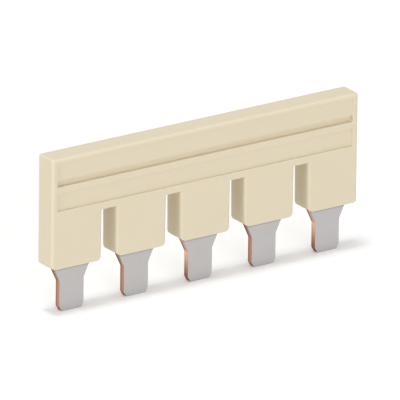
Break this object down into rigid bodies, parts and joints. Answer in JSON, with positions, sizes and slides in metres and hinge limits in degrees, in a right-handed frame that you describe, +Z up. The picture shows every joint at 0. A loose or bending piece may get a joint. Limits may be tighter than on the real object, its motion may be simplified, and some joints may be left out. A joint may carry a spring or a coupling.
{
  "type": "terminal block jumper bar",
  "caption": "Plug-in comb jumper bar for rail terminals: flat tinned copper blades under a beige moulded housing with fingers and long marker recesses.",
  "frame": {"origin": "centre of the bounding box at its bottom, in the plane of the blade tips under the middle blade", "axes": "+X along the bar, -Y out of the marker side, +Z up from the blades to the bar's top"},
  "size_m": [0.0574, 0.0038, 0.0257],
  "materials": {
    "housing_plastic": "beige polyamide, fine matt moulded grain",
    "tinned_copper": "matt tin plate on the rolled faces, bare copper on the stamped edges"
  },
  "bodies": {
    "root": {"insulating_housing": "housing_plastic", "contact_comb": "tinned_copper"}
  },
  "joints": []
}
